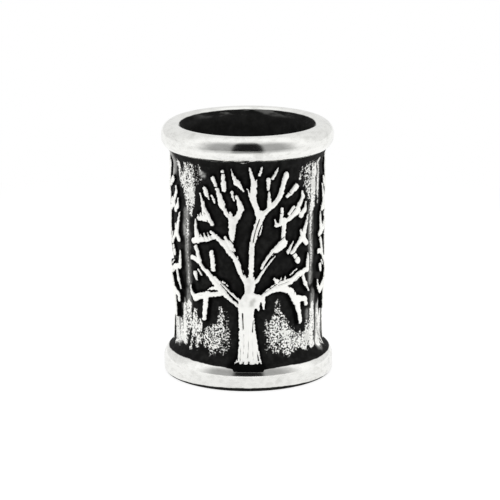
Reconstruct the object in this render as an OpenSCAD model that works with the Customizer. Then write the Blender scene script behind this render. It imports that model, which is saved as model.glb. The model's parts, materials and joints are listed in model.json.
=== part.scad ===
// Beard bead: one cast metal tube with round rims and a tree of life raised on it three times.
// The bead stands on its lower rim, centred on the Z axis, with one tree facing -Y.

/* [Tube] */
// Height of the bead over both rims
bead_h = 17.8; // [17:0.1:19]
// Width of the hole for the hair
bore_d = 8.8; // [8.4:0.1:8.9]
// Width of the sunk panel near its foot
panel_low_d = 10.16; // [10:0.02:10.3]
// Width of the sunk panel near its top
panel_high_d = 10.44; // [10.3:0.02:10.6]

/* [Rims] */
// Width of the upper rim, the widest part of the bead
head_d = 12; // [11.9:0.1:12.4]
// Height of the upper rim's rounded band
head_band_h = 1.8; // [1.7:0.05:1.9]
// Radius of the upper rim's round top edge
head_round = 0.74; // [0.5:0.02:0.74]
// Radius of the bend from the upper rim's band to its shoulder
head_bend = 0.8; // [0.6:0.05:0.8]
// Height of the sloping shoulder under the upper rim
head_shoulder_h = 0.7; // [0.6:0.05:0.8]
// Width of the lower rim
foot_d = 11.88; // [11.82:0.02:12]
// Height of the lower rim's rounded band
foot_band_h = 1.95; // [1.8:0.05:2.1]
// Radius of the lower rim's edge, where the bead stands
foot_round = 0.3; // [0.2:0.05:0.4]
// Radius of the bend from the lower rim's band to its shoulder
foot_bend = 0.95; // [0.8:0.05:1]
// Height of the sloping shoulder over the lower rim
foot_shoulder_h = 0.35; // [0.25:0.05:0.5]
// Radius of the lip where the bore opens
lip_round = 0.66; // [0.4:0.02:0.68]

/* [Trees] */
// Number of trees round the bead
tree_count = 3; // [1:1:3]
// Angle from one tree to the next, in degrees. What is left of the circle is bare at the back.
tree_pitch = 111; // [108:1:120]
// Width of the bead over the flat tops of the trees
tree_top_d = 10.9; // [10.8:0.02:11.2]
// How many times wider a tree is than its drawing
tree_spread = 1.025; // [1:0.005:1.03]

/* [Hidden] */

head_r = head_d / 2;
foot_r = foot_d / 2;
bore_r = bore_d / 2;
panel_low_r = panel_low_d / 2;
panel_high_r = panel_high_d / 2;
tree_top_r = tree_top_d / 2;
// Angle at which a band's bend runs out into the straight shoulder
bend_end = 65;
// The panel's low width holds up to this height, and its high width starts at the second one
panel_low_z = 4.6;
panel_high_z = 9.6;
// Straight steps in a quarter of a round edge, in a band's bend and along the panel's swell
corner_steps = 6;
bend_steps = 5;
panel_steps = 6;

// A tree is drawn flat, in millimetres: across from its trunk, and up from the bead's foot.
// Its strokes are sorted into fans, each standing out from the wall in its own direction.
fan_count = 7;
fan_angle = 15;
// Where the strokes' inner ends are sunk in the wall, and how far they reach out before trimming
stroke_root_r = 4.7;
stroke_reach = 1.2;

// Trunk: height, left edge, right edge
trunk_rows = [
    [1.95, -0.84, 0.88],
    [2.60, -0.72, 0.78],
    [3.60, -0.64, 0.60],
    [4.80, -0.65, 0.44],
    [5.60, -0.68, 0.44],
    [6.10, -0.68, 0.74],
    [6.45, -0.56, 1.00],
    [6.72, -0.36, 0.98],
    [6.95, -0.22, 0.38],
    [7.35, -0.28, 0.52],
    [7.75, -0.38, 0.50],
    [8.05, -0.38, 0.46],
];

// Every stroke below: from [across, up], to [across, up], bow to the left, width at each end
FROM = 0;
TO = 1;
BOW = 2;
START_W = 3;
END_W = 4;

root_rows = [
    [[-0.64, 2.40], [-1.12, 1.55], 0.05, 0.32, 0.10],
    [[-0.42, 2.20], [-0.64, 1.45], 0.00, 0.34, 0.20],
    [[-0.12, 2.20], [-0.20, 1.45], 0.00, 0.40, 0.26],
    [[0.26, 2.20], [0.30, 1.32], 0.00, 0.46, 0.32],
    [[0.54, 2.20], [0.68, 1.45], 0.00, 0.32, 0.18],
    [[0.66, 2.50], [1.06, 1.52], -0.05, 0.30, 0.12],
    [[1.00, 6.50], [1.08, 5.80], 0.00, 0.36, 0.20],
    [[0.64, 6.30], [0.70, 5.64], 0.00, 0.40, 0.12],
];

low_left_rows = [
    [[-0.54, 6.28], [-2.36, 7.94], 0.00, 0.26, 0.16],
    [[-0.62, 5.92], [-1.86, 7.08], 0.04, 0.26, 0.38],
    [[-1.78, 7.02], [-2.88, 8.24], 0.05, 0.56, 0.36],
    [[-2.90, 8.10], [-3.48, 8.70], 0.00, 0.34, 0.30],
    [[-3.38, 7.94], [-3.66, 8.26], 0.00, 0.18, 0.18],
    [[-3.54, 8.78], [-3.88, 9.84], -0.05, 0.32, 0.34],
    [[-3.70, 8.84], [-4.20, 9.04], -0.05, 0.34, 0.40],
    [[-3.80, 7.54], [-3.94, 7.98], 0.00, 0.20, 0.38],
    [[-1.60, 6.92], [-2.96, 6.66], 0.10, 0.34, 0.40],
    [[-2.96, 6.64], [-3.94, 6.26], 0.00, 0.38, 0.54],
    [[-3.90, 6.24], [-4.36, 7.05], 0.18, 0.50, 0.12],
    [[-2.10, 7.20], [-2.86, 6.94], -0.04, 0.34, 0.10],
    [[-3.02, 6.44], [-3.18, 4.86], 0.00, 0.46, 0.36],
    [[-2.44, 8.44], [-2.56, 9.66], 0.00, 0.38, 0.34],
];

main_left_rows = [
    [[-0.12, 7.70], [-0.86, 9.35], 0.06, 0.42, 0.42],
    [[-0.86, 9.35], [-1.68, 10.40], 0.02, 0.42, 0.46],
    [[-1.70, 10.32], [-2.62, 11.08], -0.05, 0.44, 0.20],
    [[-2.38, 10.74], [-4.06, 10.28], 0.05, 0.34, 0.46],
    [[-3.68, 10.44], [-3.86, 11.80], 0.07, 0.50, 0.12],
    [[-1.55, 10.80], [-1.00, 9.90], 0.00, 0.20, 0.36],
    [[-1.10, 10.20], [-1.04, 12.00], 0.00, 0.28, 0.62],
    [[-1.12, 12.02], [-1.78, 13.10], 0.06, 0.32, 0.28],
    [[-1.78, 13.05], [-2.10, 14.12], 0.00, 0.52, 0.28],
    [[-2.32, 13.22], [-2.52, 13.64], 0.00, 0.24, 0.12],
    [[-0.92, 11.95], [-0.46, 12.85], -0.06, 0.46, 0.40],
    [[-0.46, 12.80], [-0.78, 13.70], -0.05, 0.44, 0.22],
    [[-2.54, 11.62], [-3.02, 12.30], 0.00, 0.32, 0.62],
    [[-3.00, 12.20], [-3.44, 13.72], 0.00, 0.52, 0.10],
    [[-3.00, 11.96], [-3.62, 11.92], 0.00, 0.44, 0.34],
];

middle_rows = [
    [[0.20, 7.80], [0.27, 10.45], 0.00, 0.38, 0.40],
    [[0.28, 10.35], [0.76, 12.25], 0.05, 0.30, 0.30],
    [[0.48, 10.50], [1.02, 12.20], 0.05, 0.14, 0.26],
    [[0.84, 12.15], [0.84, 12.50], 0.00, 0.56, 0.50],
    [[0.72, 12.40], [0.38, 13.50], 0.00, 0.42, 0.44],
    [[0.38, 13.40], [0.42, 14.50], 0.00, 0.42, 0.40],
    [[0.42, 14.40], [0.12, 15.80], 0.00, 0.38, 0.12],
    [[0.46, 14.30], [0.64, 14.86], 0.00, 0.30, 0.12],
    [[0.28, 13.40], [-0.04, 14.25], 0.00, 0.28, 0.10],
    [[0.96, 12.36], [1.78, 13.04], 0.00, 0.34, 0.34],
    [[1.50, 12.95], [1.45, 13.95], 0.00, 0.36, 0.18],
    [[1.78, 13.02], [2.36, 13.84], -0.06, 0.36, 0.38],
    [[2.33, 13.80], [2.74, 15.06], 0.00, 0.34, 0.42],
];

main_right_rows = [
    [[0.52, 7.68], [1.86, 9.44], 0.03, 0.28, 0.12],
    [[0.93, 8.68], [1.98, 10.02], 0.05, 0.22, 0.40],
    [[1.98, 9.86], [2.46, 10.26], 0.00, 0.44, 0.70],
    [[2.48, 10.40], [2.58, 11.90], 0.00, 0.30, 0.38],
    [[2.50, 11.72], [1.98, 11.56], 0.00, 0.30, 0.28],
    [[1.98, 11.56], [1.88, 12.00], 0.00, 0.24, 0.16],
    [[2.32, 11.70], [2.42, 12.72], 0.00, 0.34, 0.22],
    [[2.62, 11.70], [3.60, 12.42], 0.00, 0.22, 0.62],
    [[3.56, 12.40], [4.20, 13.35], 0.00, 0.44, 0.28],
    [[4.20, 13.30], [4.08, 13.72], 0.00, 0.28, 0.14],
    [[3.40, 12.30], [3.08, 12.56], 0.00, 0.20, 0.12],
    [[4.00, 12.06], [4.35, 12.40], 0.00, 0.48, 0.36],
    [[4.34, 12.32], [4.48, 12.95], 0.00, 0.32, 0.12],
    [[4.18, 10.50], [4.68, 11.95], 0.00, 0.46, 0.12],
    [[4.08, 10.44], [4.50, 10.04], 0.00, 0.46, 0.44],
    [[4.14, 10.52], [3.18, 9.50], 0.00, 0.40, 0.26],
    [[4.06, 10.66], [3.94, 10.98], 0.00, 0.26, 0.14],
    [[2.90, 9.62], [3.26, 10.28], 0.00, 0.36, 0.12],
    [[3.44, 9.32], [3.70, 8.84], 0.00, 0.34, 0.42],
];

low_right_rows = [
    [[0.92, 6.58], [1.90, 7.20], 0.04, 0.34, 0.50],
    [[1.90, 7.18], [3.00, 7.48], 0.04, 0.56, 0.48],
    [[3.00, 7.48], [3.92, 7.94], 0.00, 0.44, 0.46],
    [[3.88, 7.92], [4.60, 8.14], 0.00, 0.42, 0.36],
    [[4.60, 8.12], [4.70, 9.20], 0.00, 0.42, 0.10],
    [[2.26, 7.42], [1.80, 7.82], 0.00, 0.46, 0.20],
    [[3.04, 7.96], [3.56, 8.32], 0.00, 0.14, 0.12],
    [[4.06, 7.94], [4.36, 7.22], 0.00, 0.32, 0.24],
    [[4.36, 7.20], [4.76, 6.56], 0.00, 0.32, 0.16],
    [[1.90, 7.06], [3.10, 6.76], 0.14, 0.44, 0.56],
    [[3.08, 6.76], [3.58, 5.90], 0.03, 0.56, 0.56],
    [[3.60, 5.95], [3.90, 4.50], 0.04, 0.50, 0.34],
    [[3.40, 6.20], [4.38, 6.04], 0.00, 0.54, 0.38],
    [[4.38, 6.04], [4.46, 5.66], 0.00, 0.38, 0.32],
];

leaf_rows = [
    [[-2.72, 13.38], [-3.06, 14.04], 0.00, 0.14, 0.34],
    [[-2.14, 14.16], [-2.44, 14.84], 0.00, 0.26, 0.32],
    [[-1.62, 14.14], [-1.72, 15.40], 0.00, 0.36, 0.26],
    [[-0.94, 13.36], [-1.08, 13.96], 0.00, 0.12, 0.28],
    [[-0.26, 14.07], [-0.72, 14.68], 0.00, 0.14, 0.44],
    [[-0.72, 14.60], [-1.12, 15.62], 0.05, 0.36, 0.08],
    [[0.80, 15.14], [0.98, 15.70], 0.00, 0.22, 0.16],
    [[1.42, 14.08], [1.44, 14.84], 0.00, 0.20, 0.32],
    [[1.74, 14.90], [2.12, 15.58], 0.00, 0.28, 0.12],
    [[2.80, 13.53], [3.52, 14.10], 0.00, 0.28, 0.48],
];

stroke_rows = concat(root_rows, low_left_rows, main_left_rows, middle_rows,
                     main_right_rows, low_right_rows, leaf_rows);

// Points of an arc from angle a0 to a1 round [x, z]
function arc(x, z, r, a0, a1, steps) =
    [for (i = [0:steps]) let (a = a0 + (a1 - a0) * i / steps) [x + r * cos(a), z + r * sin(a)]];

// An S-shaped step from 0 to 1
function ease(t) = t <= 0 ? 0 : t >= 1 ? 1 : t * t * (3 - 2 * t);

// Radius of the sunk panel at height z
function panel_r(z) =
    panel_low_r + (panel_high_r - panel_low_r) * ease((z - panel_low_z) / (panel_high_z - panel_low_z));

// A rim's outline at the foot of the bead, from the bore out and up to the shoulder
function rim_outline(rim_r, band_h, end_round, bend_round) = concat(
    arc(bore_r + lip_round, lip_round, lip_round, 180, 270, corner_steps),
    arc(rim_r - end_round, end_round, end_round, -90, 0, corner_steps),
    arc(rim_r - bend_round, band_h - bend_round, bend_round, 0, bend_end, bend_steps));

// The same outline turned over, for the head of the bead
function flip_up(points) =
    [for (i = [len(points) - 1:-1:0]) [points[i][0], bead_h - points[i][1]]];

// Outline of the panel between the two shoulders
function panel_outline() =
    let (low = foot_band_h + foot_shoulder_h, high = bead_h - head_band_h - head_shoulder_h)
    concat([[panel_r(low), low]],
           [for (i = [0:panel_steps])
               let (z = panel_low_z + (panel_high_z - panel_low_z) * i / panel_steps)
               [panel_r(z), z]],
           [[panel_r(high), high]]);

// A bowed, tapered stroke with round ends, on the flat drawing
function stroke_outline(row, along = 4, round = 3) =
    let (a = row[FROM], b = row[TO], d = b - a, u = d / norm(d), n = [-u[1], u[0]],
         heading = atan2(u[1], u[0]))
    concat(
        [for (i = [0:along]) stroke_side(row, i / along, -1, a, d, n)],
        [for (i = [1:round - 1]) let (q = heading - 90 + 180 * i / round)
            b + row[END_W] / 2 * [cos(q), sin(q)]],
        [for (i = [along:-1:0]) stroke_side(row, i / along, 1, a, d, n)],
        [for (i = [1:round - 1]) let (q = heading + 90 + 180 * i / round)
            a + row[START_W] / 2 * [cos(q), sin(q)]]);

// A point on a stroke's left (side 1) or right (side -1) edge, at the share t of its length
function stroke_side(row, t, side, a, d, n) =
    let (w = row[START_W] * (1 - t) + row[END_W] * t)
    a + d * t + n * (4 * row[BOW] * t * (1 - t) + side * w / 2);

// The angle round the bead, from the tree's middle, of a place on the flat drawing
function turn_of(across) = across * tree_spread / tree_top_r * 180 / PI;

// The flat drawing's points as seen along a fan's direction, once they lie on the trees' tops
function seen_from(points, angle) =
    [for (p = points) [tree_top_r * sin(turn_of(p[0]) - angle), p[1]]];

// The angle round the bead of the middle of a stroke
function stroke_turn(row) = turn_of((row[FROM][0] + row[TO][0]) / 2);

// The strokes nearest to a fan's direction, stood out from the wall.
// The offset of nothing joins their outlines into one.
module fan(angle) {
    rotate([0, 0, angle])
        translate([0, -stroke_root_r, 0])
            rotate([90, 0, 0])
                linear_extrude(stroke_reach)
                    offset(delta = 0) {
                        if (angle == 0)
                            polygon(seen_from(trunk_outline(), angle));
                        for (row = stroke_rows)
                            if (abs(stroke_turn(row) - angle) <= fan_angle / 2)
                                polygon(seen_from(stroke_outline(row), angle));
                    }
}

// The trunk's outline on the flat drawing
function trunk_outline() =
    concat([for (row = trunk_rows) [row[2], row[0]]],
           [for (i = [len(trunk_rows) - 1:-1:0]) [trunk_rows[i][1], trunk_rows[i][0]]]);

// A raised tree, trimmed to its round top
module tree() {
    intersection() {
        union()
            for (i = [0:fan_count - 1])
                fan((i - (fan_count - 1) / 2) * fan_angle);
        cylinder(h = bead_h, r = tree_top_r);
    }
}

// The tube with its rims, shoulders, panel and bore
module tube() {
    rotate_extrude()
        polygon(concat(rim_outline(foot_r, foot_band_h, foot_round, foot_bend),
                       panel_outline(),
                       flip_up(rim_outline(head_r, head_band_h, head_round, head_bend))));
}

module bead() {
    color([0.78, 0.78, 0.76])
        union() {
            tube();
            for (i = [0:tree_count - 1])
                rotate([0, 0, (i - (tree_count - 1) / 2) * tree_pitch])
                    tree();
        }
}

bead();
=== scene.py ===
"""Beard bead: a blackened steel tube with polished round rims and a tree of life raised on it three times.

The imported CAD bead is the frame. Its rims, bore and panel are made again as one smooth turned tube,
and its trees as three hammered reliefs that stand out of the tube's wall.
"""

import json

import bpy
import numpy as np
from bpy.props import FloatProperty, FloatVectorProperty, IntProperty, PointerProperty
from mathutils import Matrix, Vector


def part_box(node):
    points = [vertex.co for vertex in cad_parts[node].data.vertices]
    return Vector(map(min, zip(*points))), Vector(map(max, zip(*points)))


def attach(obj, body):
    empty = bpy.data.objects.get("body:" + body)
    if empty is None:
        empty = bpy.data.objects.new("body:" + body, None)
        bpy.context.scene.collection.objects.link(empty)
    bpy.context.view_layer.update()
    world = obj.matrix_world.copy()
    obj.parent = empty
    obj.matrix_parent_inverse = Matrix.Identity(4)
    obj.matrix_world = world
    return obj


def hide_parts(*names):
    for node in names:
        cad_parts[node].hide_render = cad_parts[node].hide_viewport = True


bl_info = {
    "name": "Beard bead with trees of life",
    "version": (1, 0, 0),
    "blender": (4, 5, 0),
    "location": "View3D > Sidebar > Bead",
    "description": "Makes the tube, the raised trees and the photo stage of a blackened steel beard bead",
    "category": "Add Mesh",
}

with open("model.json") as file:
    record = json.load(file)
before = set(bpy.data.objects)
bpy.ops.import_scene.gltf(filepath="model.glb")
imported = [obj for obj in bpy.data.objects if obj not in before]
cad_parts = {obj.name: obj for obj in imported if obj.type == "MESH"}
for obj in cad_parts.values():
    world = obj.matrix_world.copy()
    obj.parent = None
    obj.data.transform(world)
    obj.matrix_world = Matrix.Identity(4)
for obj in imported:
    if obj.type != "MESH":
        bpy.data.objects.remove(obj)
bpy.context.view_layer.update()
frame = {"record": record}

MM = 0.001
CAD_LOW, CAD_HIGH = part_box("bead")
BEAD_H = CAD_HIGH.z
# The upper rim is the widest part of the bead
HEAD_R = min(CAD_HIGH.x, CAD_HIGH.y, -CAD_LOW.x, -CAD_LOW.y)
BORE = next(mount["dims"] for mount in frame["record"]["mounts"] if mount["name"] == "bore")
BORE_R_MM = BORE["r_mm"]
BORE_R = BORE_R_MM * MM
# Depth of the frame's round lips, where the bore's straight wall ends
LIP_H = (BEAD_H - BORE["length_mm"] * MM) / 2
# Angle at which a band's bend runs out into the straight shoulder
BEND_END = 65
# Radius in millimetres at which the wear of the ground is charted
WEAR_R = 5.1
# How far in millimetres the distance to a stroke is worked out, and how soft the edge of a smear or facet is
STROKE_SPREAD = 0.7
SOFT_EDGE = 0.40
# How much blacker the patina is painted right beside the trees' strokes and on their walls, as painted shade
# in the corners, from 0 to 1
CORNER_SHADE_DEPTH = 0.9

# What the steel mirrors in front: how far it goes to both sides in degrees, its soft width and its depth
DARK_CAMERA = (20.5, 6, 0.97)
DIM_WALL = (62, 34, 0.62)

# The flat drawing of a tree, in millimetres: across from its trunk, and up from the bead's foot.
# Trunk: height, left edge, right edge
TRUNK_ROWS = (
    (1.95, -0.84, 0.88),
    (2.60, -0.72, 0.78),
    (3.60, -0.64, 0.60),
    (4.80, -0.65, 0.44),
    (5.60, -0.68, 0.44),
    (6.10, -0.68, 0.74),
    (6.45, -0.56, 1.00),
    (6.72, -0.36, 0.98),
    (6.95, -0.22, 0.38),
    (7.35, -0.28, 0.52),
    (7.75, -0.38, 0.50),
    (8.05, -0.38, 0.46),
)

# Strokes: from (across, up), to (across, up), bow to the left, width at each end
ROOT_ROWS = (
    ((-0.64, 2.40), (-1.12, 1.55), 0.05, 0.32, 0.10),
    ((-0.42, 2.20), (-0.64, 1.45), 0.00, 0.34, 0.20),
    ((-0.12, 2.20), (-0.20, 1.45), 0.00, 0.40, 0.26),
    ((0.26, 2.20), (0.30, 1.32), 0.00, 0.46, 0.32),
    ((0.54, 2.20), (0.68, 1.45), 0.00, 0.32, 0.18),
    ((0.66, 2.50), (1.06, 1.52), -0.05, 0.30, 0.12),
    ((1.00, 6.50), (1.08, 5.80), 0.00, 0.36, 0.20),
    ((0.64, 6.30), (0.70, 5.64), 0.00, 0.40, 0.12),
)

LOW_LEFT_ROWS = (
    ((-0.54, 6.28), (-2.36, 7.94), 0.00, 0.26, 0.16),
    ((-0.62, 5.92), (-1.86, 7.08), 0.04, 0.26, 0.38),
    ((-1.78, 7.02), (-2.88, 8.24), 0.05, 0.56, 0.36),
    ((-2.90, 8.10), (-3.48, 8.70), 0.00, 0.34, 0.30),
    ((-3.38, 7.94), (-3.66, 8.26), 0.00, 0.18, 0.18),
    ((-3.54, 8.78), (-3.88, 9.84), -0.05, 0.32, 0.34),
    ((-3.70, 8.84), (-4.20, 9.04), -0.05, 0.34, 0.40),
    ((-3.80, 7.54), (-3.94, 7.98), 0.00, 0.20, 0.38),
    ((-1.60, 6.92), (-2.96, 6.66), 0.10, 0.34, 0.40),
    ((-2.96, 6.64), (-3.94, 6.26), 0.00, 0.38, 0.54),
    ((-3.90, 6.24), (-4.36, 7.05), 0.18, 0.50, 0.12),
    ((-2.10, 7.20), (-2.86, 6.94), -0.04, 0.34, 0.10),
    ((-3.02, 6.44), (-3.18, 4.86), 0.00, 0.46, 0.36),
    ((-2.44, 8.44), (-2.56, 9.66), 0.00, 0.38, 0.34),
)

MAIN_LEFT_ROWS = (
    ((-0.12, 7.70), (-0.86, 9.35), 0.06, 0.42, 0.42),
    ((-0.86, 9.35), (-1.68, 10.40), 0.02, 0.42, 0.46),
    ((-1.70, 10.32), (-2.62, 11.08), -0.05, 0.44, 0.20),
    ((-2.38, 10.74), (-4.06, 10.28), 0.05, 0.34, 0.46),
    ((-3.68, 10.44), (-3.86, 11.80), 0.07, 0.50, 0.12),
    ((-1.55, 10.80), (-1.00, 9.90), 0.00, 0.20, 0.36),
    ((-1.10, 10.20), (-1.04, 12.00), 0.00, 0.28, 0.62),
    ((-1.12, 12.02), (-1.78, 13.10), 0.06, 0.32, 0.28),
    ((-1.78, 13.05), (-2.10, 14.12), 0.00, 0.52, 0.28),
    ((-2.32, 13.22), (-2.52, 13.64), 0.00, 0.24, 0.12),
    ((-0.92, 11.95), (-0.46, 12.85), -0.06, 0.46, 0.40),
    ((-0.46, 12.80), (-0.78, 13.70), -0.05, 0.44, 0.22),
    ((-2.54, 11.62), (-3.02, 12.30), 0.00, 0.32, 0.62),
    ((-3.00, 12.20), (-3.44, 13.72), 0.00, 0.52, 0.10),
    ((-3.00, 11.96), (-3.62, 11.92), 0.00, 0.44, 0.34),
)

MIDDLE_ROWS = (
    ((0.20, 7.80), (0.27, 10.45), 0.00, 0.38, 0.40),
    ((0.28, 10.35), (0.76, 12.25), 0.05, 0.30, 0.30),
    ((0.48, 10.50), (1.02, 12.20), 0.05, 0.14, 0.26),
    ((0.84, 12.15), (0.84, 12.50), 0.00, 0.56, 0.50),
    ((0.72, 12.40), (0.38, 13.50), 0.00, 0.42, 0.44),
    ((0.38, 13.40), (0.42, 14.50), 0.00, 0.42, 0.40),
    ((0.42, 14.40), (0.12, 15.80), 0.00, 0.38, 0.12),
    ((0.46, 14.30), (0.64, 14.86), 0.00, 0.30, 0.12),
    ((0.28, 13.40), (-0.04, 14.25), 0.00, 0.28, 0.10),
    ((0.96, 12.36), (1.78, 13.04), 0.00, 0.34, 0.34),
    ((1.50, 12.95), (1.45, 13.95), 0.00, 0.36, 0.18),
    ((1.78, 13.02), (2.36, 13.84), -0.06, 0.36, 0.38),
    ((2.33, 13.80), (2.74, 15.06), 0.00, 0.34, 0.42),
)

MAIN_RIGHT_ROWS = (
    ((0.52, 7.68), (1.86, 9.44), 0.03, 0.28, 0.12),
    ((0.93, 8.68), (1.98, 10.02), 0.05, 0.22, 0.40),
    ((1.98, 9.86), (2.46, 10.26), 0.00, 0.44, 0.70),
    ((2.48, 10.40), (2.58, 11.90), 0.00, 0.30, 0.38),
    ((2.50, 11.72), (1.98, 11.56), 0.00, 0.30, 0.28),
    ((1.98, 11.56), (1.88, 12.00), 0.00, 0.24, 0.16),
    ((2.32, 11.70), (2.42, 12.72), 0.00, 0.34, 0.22),
    ((2.62, 11.70), (3.60, 12.42), 0.00, 0.22, 0.62),
    ((3.56, 12.40), (4.20, 13.35), 0.00, 0.44, 0.28),
    ((4.20, 13.30), (4.08, 13.72), 0.00, 0.28, 0.14),
    ((3.40, 12.30), (3.08, 12.56), 0.00, 0.20, 0.12),
    ((4.00, 12.06), (4.35, 12.40), 0.00, 0.48, 0.36),
    ((4.34, 12.32), (4.48, 12.95), 0.00, 0.32, 0.12),
    ((4.18, 10.50), (4.68, 11.95), 0.00, 0.46, 0.12),
    ((4.08, 10.44), (4.50, 10.04), 0.00, 0.46, 0.44),
    ((4.14, 10.52), (3.18, 9.50), 0.00, 0.40, 0.26),
    ((4.06, 10.66), (3.94, 10.98), 0.00, 0.26, 0.14),
    ((2.90, 9.62), (3.26, 10.28), 0.00, 0.36, 0.12),
    ((3.44, 9.32), (3.70, 8.84), 0.00, 0.34, 0.42),
)

LOW_RIGHT_ROWS = (
    ((0.92, 6.58), (1.90, 7.20), 0.04, 0.34, 0.50),
    ((1.90, 7.18), (3.00, 7.48), 0.04, 0.56, 0.48),
    ((3.00, 7.48), (3.92, 7.94), 0.00, 0.44, 0.46),
    ((3.88, 7.92), (4.60, 8.14), 0.00, 0.42, 0.36),
    ((4.60, 8.12), (4.70, 9.20), 0.00, 0.42, 0.10),
    ((2.26, 7.42), (1.80, 7.82), 0.00, 0.46, 0.20),
    ((3.04, 7.96), (3.56, 8.32), 0.00, 0.14, 0.12),
    ((4.06, 7.94), (4.36, 7.22), 0.00, 0.32, 0.24),
    ((4.36, 7.20), (4.76, 6.56), 0.00, 0.32, 0.16),
    ((1.90, 7.06), (3.10, 6.76), 0.14, 0.44, 0.56),
    ((3.08, 6.76), (3.58, 5.90), 0.03, 0.56, 0.56),
    ((3.60, 5.95), (3.90, 4.50), 0.04, 0.50, 0.34),
    ((3.40, 6.20), (4.38, 6.04), 0.00, 0.54, 0.38),
    ((4.38, 6.04), (4.46, 5.66), 0.00, 0.38, 0.32),
)

LEAF_ROWS = (
    ((-2.72, 13.38), (-3.06, 14.04), 0.00, 0.14, 0.34),
    ((-2.14, 14.16), (-2.44, 14.84), 0.00, 0.26, 0.32),
    ((-1.62, 14.14), (-1.72, 15.40), 0.00, 0.36, 0.26),
    ((-0.94, 13.36), (-1.08, 13.96), 0.00, 0.12, 0.28),
    ((-0.26, 14.07), (-0.72, 14.68), 0.00, 0.14, 0.44),
    ((-0.72, 14.60), (-1.12, 15.62), 0.05, 0.36, 0.08),
    ((0.80, 15.14), (0.98, 15.70), 0.00, 0.22, 0.16),
    ((1.42, 14.08), (1.44, 14.84), 0.00, 0.20, 0.32),
    ((1.74, 14.90), (2.12, 15.58), 0.00, 0.28, 0.12),
    ((2.80, 13.53), (3.52, 14.10), 0.00, 0.28, 0.48),
)

STROKE_ROWS = (ROOT_ROWS + LOW_LEFT_ROWS + MAIN_LEFT_ROWS + MIDDLE_ROWS
               + MAIN_RIGHT_ROWS + LOW_RIGHT_ROWS + LEAF_ROWS)

# Narrow slits in the strokes' tops, in the same columns
SLIT_ROWS = (
    ((-0.38, 5.45), (-0.33, 4.36), 0.00, 0.12, 0.11),
    ((-0.30, 4.00), (-0.34, 2.60), 0.03, 0.03, 0.05),
    ((0.34, 4.95), (0.29, 4.16), 0.00, 0.05, 0.12),
    ((0.26, 3.60), (0.34, 2.20), 0.00, 0.02, 0.05),
    ((0.02, 4.60), (-0.04, 2.30), 0.03, 0.02, 0.07),
    ((-0.50, 3.30), (-0.56, 2.10), 0.00, 0.02, 0.07),
    ((0.50, 5.74), (0.46, 5.20), 0.00, 0.16, 0.18),
    ((0.60, 2.70), (0.70, 2.10), 0.00, 0.06, 0.12),
    ((-0.78, 2.60), (-0.90, 2.05), 0.00, 0.03, 0.11),
    ((0.35, 10.50), (0.80, 12.10), 0.05, 0.08, 0.09),
    ((-0.70, 6.30), (-1.90, 7.46), 0.02, 0.09, 0.07),
    ((-0.50, 7.90), (-0.96, 9.10), 0.05, 0.06, 0.05),
    ((1.10, 8.75), (1.80, 9.70), 0.03, 0.07, 0.07),
    ((1.10, 6.86), (2.00, 7.42), 0.02, 0.05, 0.07),
    ((2.10, 7.34), (2.90, 7.52), 0.00, 0.07, 0.06),
    ((-2.36, 14.20), (-1.96, 14.30), 0.00, 0.09, 0.11),
    ((-1.96, 15.22), (-1.54, 15.26), 0.00, 0.09, 0.09),
    ((1.25, 14.04), (1.55, 14.02), 0.00, 0.09, 0.08),
    ((2.84, 13.92), (3.06, 13.70), 0.00, 0.08, 0.09),
    ((2.22, 12.42), (2.36, 12.38), 0.00, 0.10, 0.06),
    ((3.08, 12.22), (3.46, 12.60), 0.00, 0.07, 0.09),
    ((-3.12, 12.44), (-3.04, 12.28), 0.00, 0.05, 0.10),
    ((-2.88, 11.88), (-2.76, 11.66), 0.00, 0.09, 0.06),
    ((-2.70, 11.66), (-2.62, 11.58), 0.00, 0.08, 0.05),
    ((-0.72, 2.70), (-0.75, 2.10), 0.00, 0.04, 0.10),
    ((-0.92, 2.16), (-1.00, 1.84), 0.00, 0.04, 0.08),
    ((-0.84, 2.04), (-0.88, 1.78), 0.00, 0.03, 0.07),
    ((3.05, 9.30), (3.64, 9.54), 0.00, 0.07, 0.09),
    ((3.42, 9.02), (3.66, 9.18), 0.00, 0.03, 0.06),
    ((2.18, 10.44), (2.54, 10.70), 0.00, 0.08, 0.10),
    ((3.10, 7.22), (2.94, 7.08), 0.00, 0.12, 0.05),
    ((3.42, 6.74), (3.28, 6.60), 0.00, 0.11, 0.05),
    ((-1.12, 9.95), (-0.74, 9.42), 0.00, 0.05, 0.08),
    ((-0.44, 8.80), (-0.32, 8.22), 0.00, 0.05, 0.08),
    ((-1.38, 10.85), (-1.02, 10.36), 0.00, 0.08, 0.07),
    ((-3.66, 6.44), (-3.30, 6.52), 0.03, 0.03, 0.05),
    ((1.60, 7.66), (2.00, 7.20), 0.00, 0.05, 0.04),
    ((1.42, 7.30), (1.66, 7.02), 0.00, 0.05, 0.03),
    ((-3.30, 10.78), (-3.02, 10.48), 0.00, 0.07, 0.04),
    ((-3.06, 10.88), (-2.74, 10.56), 0.00, 0.07, 0.04),
    ((-2.78, 10.96), (-2.48, 10.64), 0.00, 0.08, 0.04),
    ((-1.28, 10.76), (-0.94, 10.36), 0.00, 0.05, 0.06),
    ((-1.24, 9.96), (-1.02, 9.72), 0.00, 0.04, 0.03),
    ((-0.98, 9.94), (-0.76, 9.52), 0.00, 0.05, 0.04),
    ((-0.46, 8.74), (-0.24, 8.12), 0.00, 0.05, 0.04),
    ((2.94, 9.50), (3.30, 10.20), 0.00, 0.08, 0.06),
    ((3.42, 8.96), (3.64, 9.26), 0.00, 0.06, 0.05),
    ((2.10, 7.54), (2.44, 7.76), 0.00, 0.07, 0.05),
    ((1.64, 7.74), (1.80, 7.94), 0.00, 0.05, 0.05),
    ((3.38, 7.50), (3.76, 7.78), 0.00, 0.04, 0.07),
    ((3.92, 7.60), (4.10, 7.80), 0.00, 0.05, 0.05),
)

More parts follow.
